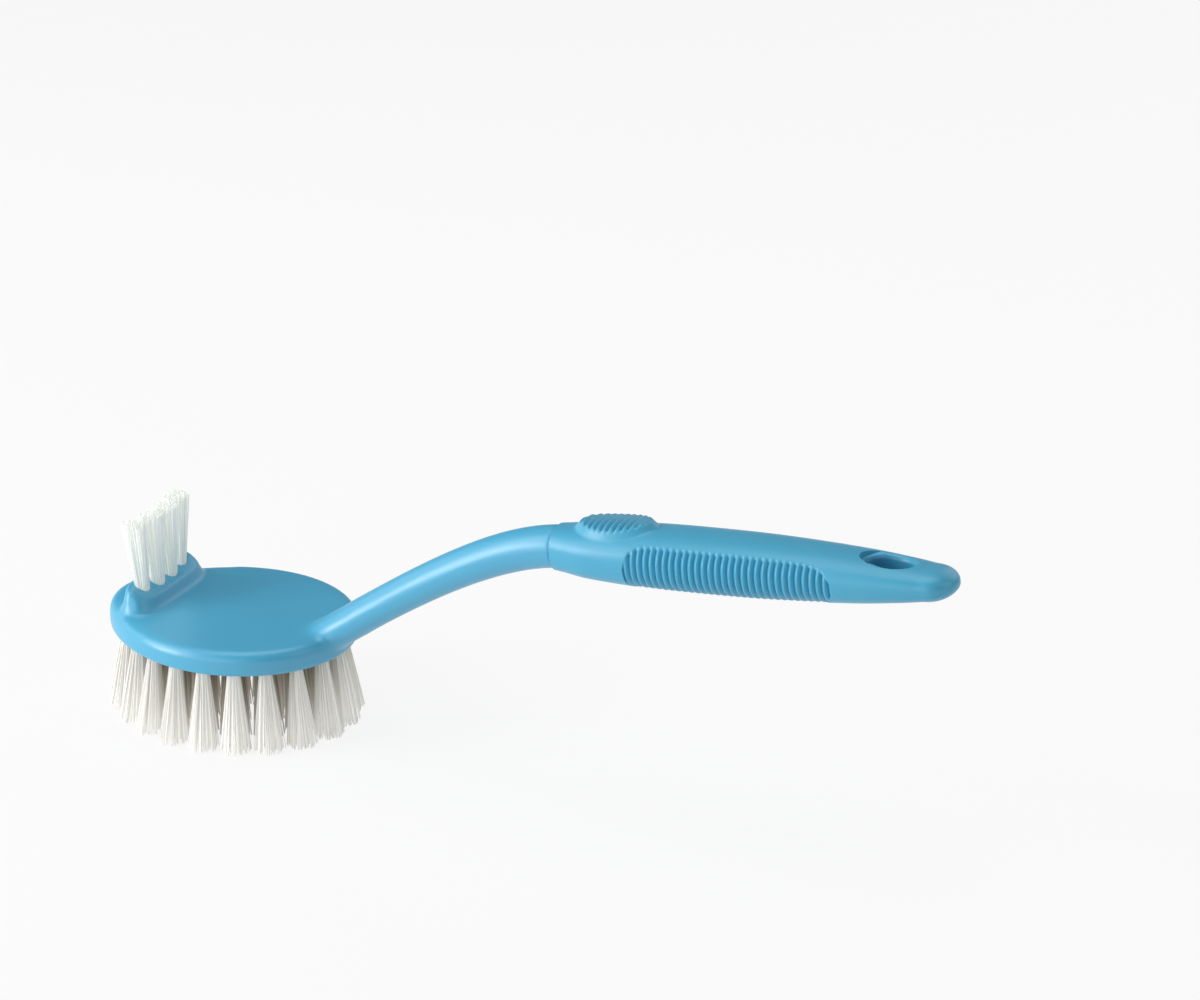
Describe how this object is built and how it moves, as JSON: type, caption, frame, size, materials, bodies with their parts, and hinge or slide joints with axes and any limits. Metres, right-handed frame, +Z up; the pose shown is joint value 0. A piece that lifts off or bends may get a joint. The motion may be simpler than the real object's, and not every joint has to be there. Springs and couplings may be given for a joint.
{
  "type": "basin brush",
  "caption": "Hand-held basin brush: oval bristle head with a small raised tip brush, bent neck, ribbed grip with thumb rest and hanging hole.",
  "frame": {"origin": "middle of the bristle tips under the head, on the plane that they stand on", "axes": "+X from the head towards the grip's end, +Z up out of the deck, the bristles point to -Z"},
  "size_m": [0.2791, 0.0686, 0.0918],
  "materials": {
    "blue_plastic": "smooth glossy moulded plastic",
    "grip_plastic": "satin moulded plastic, ribbed",
    "bristle_nylon": "off-white nylon filament",
    "tip_nylon": "white nylon filament with a faint green tint",
    "anchor_wire": "flat drawn wire"
  },
  "bodies": {
    "root": {"head_and_neck": "blue_plastic", "handle_grip": "grip_plastic", "outer_bristles": "bristle_nylon", "middle_bristles": "bristle_nylon", "inner_bristles": "bristle_nylon", "tip_bristles": "tip_nylon", "outer_anchor_01": "anchor_wire", "outer_anchor_02": "anchor_wire", "outer_anchor_03": "anchor_wire", "outer_anchor_04": "anchor_wire", "outer_anchor_05": "anchor_wire", "outer_anchor_06": "anchor_wire", "outer_anchor_07": "anchor_wire", "outer_anchor_08": "anchor_wire", "outer_anchor_09": "anchor_wire", "outer_anchor_10": "anchor_wire", "outer_anchor_11": "anchor_wire", "outer_anchor_12": "anchor_wire", "outer_anchor_13": "anchor_wire", "outer_anchor_14": "anchor_wire", "outer_anchor_15": "anchor_wire", "outer_anchor_16": "anchor_wire", "outer_anchor_17": "anchor_wire", "outer_anchor_18": "anchor_wire", "outer_anchor_19": "anchor_wire", "outer_anchor_20": "anchor_wire", "middle_anchor_01": "anchor_wire", "middle_anchor_02": "anchor_wire", "middle_anchor_03": "anchor_wire", "middle_anchor_04": "anchor_wire", "middle_anchor_05": "anchor_wire", "middle_anchor_06": "anchor_wire", "middle_anchor_07": "anchor_wire", "middle_anchor_08": "anchor_wire", "middle_anchor_09": "anchor_wire", "middle_anchor_10": "anchor_wire", "middle_anchor_11": "anchor_wire", "middle_anchor_12": "anchor_wire", "middle_anchor_13": "anchor_wire", "middle_anchor_14": "anchor_wire", "inner_anchor_01": "anchor_wire", "inner_anchor_02": "anchor_wire", "inner_anchor_03": "anchor_wire", "inner_anchor_04": "anchor_wire", "inner_anchor_05": "anchor_wire", "inner_anchor_06": "anchor_wire", "inner_anchor_07": "anchor_wire", "inner_anchor_08": "anchor_wire", "inner_anchor_09": "anchor_wire", "tip_anchor_01": "anchor_wire", "tip_anchor_02": "anchor_wire", "tip_anchor_03": "anchor_wire", "tip_anchor_04": "anchor_wire"}
  },
  "joints": []
}
